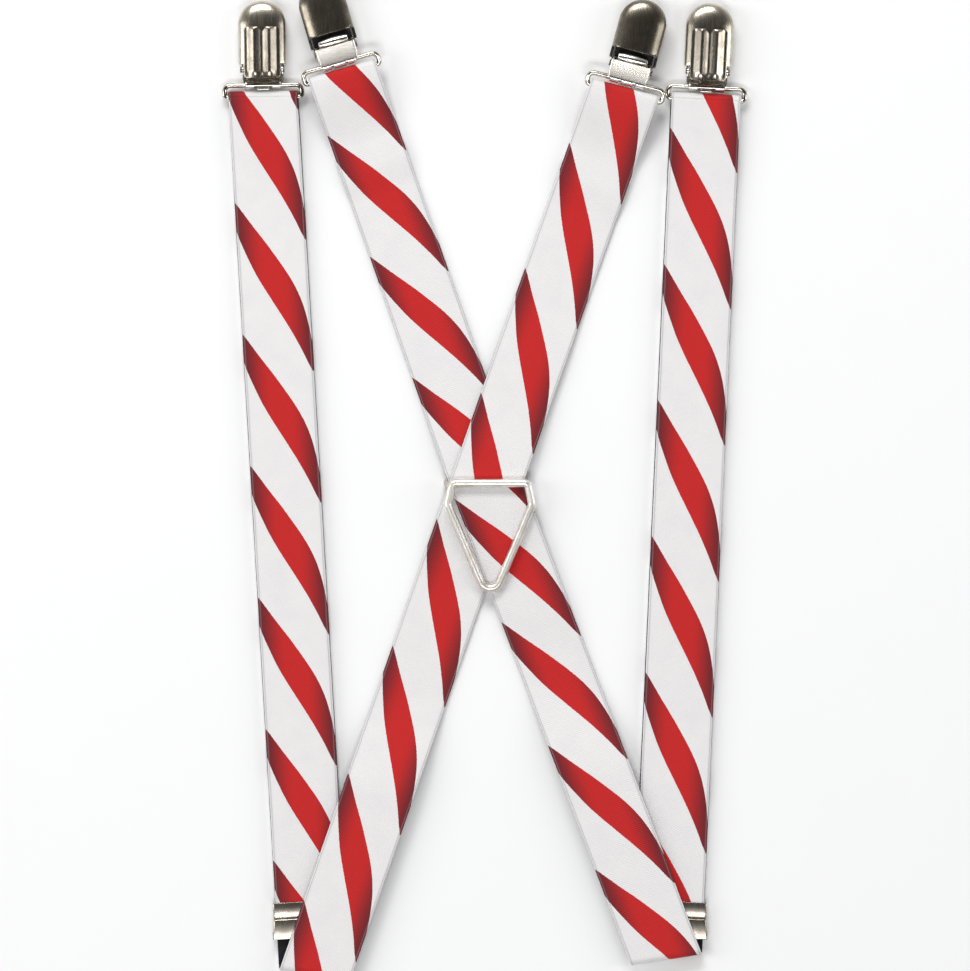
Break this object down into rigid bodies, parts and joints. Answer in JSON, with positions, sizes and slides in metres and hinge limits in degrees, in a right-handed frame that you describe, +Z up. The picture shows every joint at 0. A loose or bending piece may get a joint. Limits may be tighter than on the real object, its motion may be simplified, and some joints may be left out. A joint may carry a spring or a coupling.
{
  "type": "suspenders",
  "caption": "Elastic dress suspenders laid flat with the straps crossed at the back ring, with metal lever clips at the ends and sliding adjusters.",
  "frame": {"origin": "centre of the laid-out set's footprint, on the table", "axes": "+X to the right of the laid-out set, +Y from the bottom folds to the clips, +Z up off the table"},
  "size_m": [0.1902, 0.3608, 0.0092],
  "materials": {
    "webbing": "woven elastic, printed with red diagonal stripes on white, black on the back",
    "nickel": "bright nickel plate",
    "dark_nickel": "smooth nickel plate",
    "grip_pad": "ribbed black plastic"
  },
  "bodies": {
    "webbing": {"left_front_run": "webbing", "left_adjusting_run": "webbing", "left_shoulder_run": "webbing", "left_rear_run": "webbing", "right_front_run": "webbing", "right_adjusting_run": "webbing", "right_shoulder_run": "webbing", "right_rear_run": "webbing", "cross_ring": "dark_nickel"},
    "front_left_ring": {"front_left_ring": "nickel"},
    "front_left_body": {"front_left_clip_body": "nickel", "front_left_hinge_pin": "nickel", "front_left_back_pad": "grip_pad"},
    "front_left_jaw": {"front_left_front_jaw": "nickel", "front_left_front_pad": "grip_pad"},
    "front_left_lever": {"front_left_lever": "nickel"},
    "front_right_ring": {"front_right_ring": "nickel"},
    "front_right_body": {"front_right_clip_body": "nickel", "front_right_hinge_pin": "nickel", "front_right_back_pad": "grip_pad"},
    "front_right_jaw": {"front_right_front_jaw": "nickel", "front_right_front_pad": "grip_pad"},
    "front_right_lever": {"front_right_lever": "nickel"},
    "rear_left_ring": {"rear_left_ring": "nickel"},
    "rear_left_body": {"rear_left_clip_body": "nickel", "rear_left_hinge_pin": "nickel", "rear_left_back_pad": "grip_pad"},
    "rear_left_jaw": {"rear_left_front_jaw": "nickel", "rear_left_front_pad": "grip_pad"},
    "rear_left_lever": {"rear_left_lever": "nickel"},
    "rear_right_ring": {"rear_right_ring": "nickel"},
    "rear_right_body": {"rear_right_clip_body": "nickel", "rear_right_hinge_pin": "nickel", "rear_right_back_pad": "grip_pad"},
    "rear_right_jaw": {"rear_right_front_jaw": "nickel", "rear_right_front_pad": "grip_pad"},
    "rear_right_lever": {"rear_right_lever": "nickel"},
    "left_adjuster": {"left_adjuster_frame": "nickel", "left_adjuster_pin": "nickel"},
    "left_cover": {"left_adjuster_cover": "nickel"},
    "right_adjuster": {"right_adjuster_frame": "nickel", "right_adjuster_pin": "nickel"},
    "right_cover": {"right_adjuster_cover": "nickel"}
  },
  "joints": [
    {"name": "front_left_ring_swing", "type": "hinge", "parent": "webbing", "child": "front_left_ring", "pos_m": [-0.08016, 0.139, 0.0024], "axis": [0.9999, 0.014, 0], "range_deg": [-30, 45]},
    {"name": "front_left_clip_tilt", "type": "hinge", "parent": "front_left_ring", "child": "front_left_body", "pos_m": [-0.08022, 0.1434, 0.0024], "axis": [0.9999, 0.014, 0], "range_deg": [-20, 45]},
    {"name": "front_left_lever_flip", "type": "hinge", "parent": "front_left_body", "child": "front_left_lever", "pos_m": [-0.08029, 0.1487, 0.0055], "axis": [0.9999, 0.014, 0], "range_deg": [0, 95]},
    {"name": "front_left_jaw_rock", "type": "hinge", "parent": "front_left_body", "child": "front_left_jaw", "pos_m": [-0.08033, 0.151, 0.0021], "axis": [0.9999, 0.014, 0], "range_deg": [0, 10]},
    {"name": "front_right_ring_swing", "type": "hinge", "parent": "webbing", "child": "front_right_ring", "pos_m": [0.08006, 0.13811, 0.0024], "axis": [0.9987, -0.0506, 0], "range_deg": [-30, 45]},
    {"name": "front_right_clip_tilt", "type": "hinge", "parent": "front_right_ring", "child": "front_right_body", "pos_m": [0.08028, 0.1425, 0.0024], "axis": [0.9987, -0.0506, 0], "range_deg": [-20, 45]},
    {"name": "front_right_lever_flip", "type": "hinge", "parent": "front_right_body", "child": "front_right_lever", "pos_m": [0.08055, 0.1478, 0.0055], "axis": [0.9987, -0.0506, 0], "range_deg": [0, 95]},
    {"name": "front_right_jaw_rock", "type": "hinge", "parent": "front_right_body", "child": "front_right_jaw", "pos_m": [0.08066, 0.15009, 0.0021], "axis": [0.9987, -0.0506, 0], "range_deg": [0, 10]},
    {"name": "rear_left_ring_swing", "type": "hinge", "parent": "webbing", "child": "rear_left_ring", "pos_m": [-0.05123, 0.14694, 0.00559], "axis": [0.9598, 0.2807, 0], "range_deg": [-30, 45]},
    {"name": "rear_left_clip_tilt", "type": "hinge", "parent": "rear_left_ring", "child": "rear_left_body", "pos_m": [-0.05242, 0.151, 0.0068], "axis": [0.9598, 0.2807, 0], "range_deg": [-20, 45]},
    {"name": "rear_left_lever_flip", "type": "hinge", "parent": "rear_left_body", "child": "rear_left_lever", "pos_m": [-0.05391, 0.15609, 0.0037], "axis": [-0.9598, -0.2807, 0], "range_deg": [0, 95]},
    {"name": "rear_left_jaw_rock", "type": "hinge", "parent": "rear_left_body", "child": "rear_left_jaw", "pos_m": [-0.05455, 0.1583, 0.0071], "axis": [-0.9598, -0.2807, 0], "range_deg": [0, 10]},
    {"name": "rear_right_ring_swing", "type": "hinge", "parent": "webbing", "child": "rear_right_ring", "pos_m": [0.05029, 0.14022, 0.00559], "axis": [0.9659, -0.2588, 0], "range_deg": [-30, 45]},
    {"name": "rear_right_clip_tilt", "type": "hinge", "parent": "rear_right_ring", "child": "rear_right_body", "pos_m": [0.05138, 0.1443, 0.0068], "axis": [0.9659, -0.2588, 0], "range_deg": [-20, 45]},
    {"name": "rear_right_lever_flip", "type": "hinge", "parent": "rear_right_body", "child": "rear_right_lever", "pos_m": [0.05275, 0.14942, 0.0037], "axis": [-0.9659, 0.2588, 0], "range_deg": [0, 95]},
    {"name": "rear_right_jaw_rock", "type": "hinge", "parent": "rear_right_body", "child": "rear_right_jaw", "pos_m": [0.05335, 0.15164, 0.0071], "axis": [-0.9659, 0.2588, 0], "range_deg": [0, 10]},
    {"name": "left_adjuster_slide", "type": "slide", "parent": "webbing", "child": "left_adjuster", "axis": [-0.0581, 0.9983, 0], "range_m": [0, 0.24], "deforming": ["left_adjusting_run"]},
    {"name": "left_cover_hinge", "type": "hinge", "parent": "left_adjuster", "child": "left_cover", "pos_m": [-0.06259, -0.16282, 0.0028], "axis": [-0.9983, -0.0581, 0], "range_deg": [0, 100]},
    {"name": "right_adjuster_slide", "type": "slide", "parent": "webbing", "child": "right_adjuster", "axis": [0.0452, 0.999, 0], "range_m": [0, 0.24], "deforming": ["right_adjusting_run"]},
    {"name": "right_cover_hinge", "type": "hinge", "parent": "right_adjuster", "child": "right_cover", "pos_m": [0.06643, -0.16281, 0.0028], "axis": [-0.999, 0.0452, 0], "range_deg": [0, 100]}
  ],
  "couplings": [
    {"joint": "front_left_jaw_rock", "follows": "front_left_lever_flip", "ratio": 0.105},
    {"joint": "front_right_jaw_rock", "follows": "front_right_lever_flip", "ratio": 0.105},
    {"joint": "rear_left_jaw_rock", "follows": "rear_left_lever_flip", "ratio": 0.105},
    {"joint": "rear_right_jaw_rock", "follows": "rear_right_lever_flip", "ratio": 0.105}
  ]
}
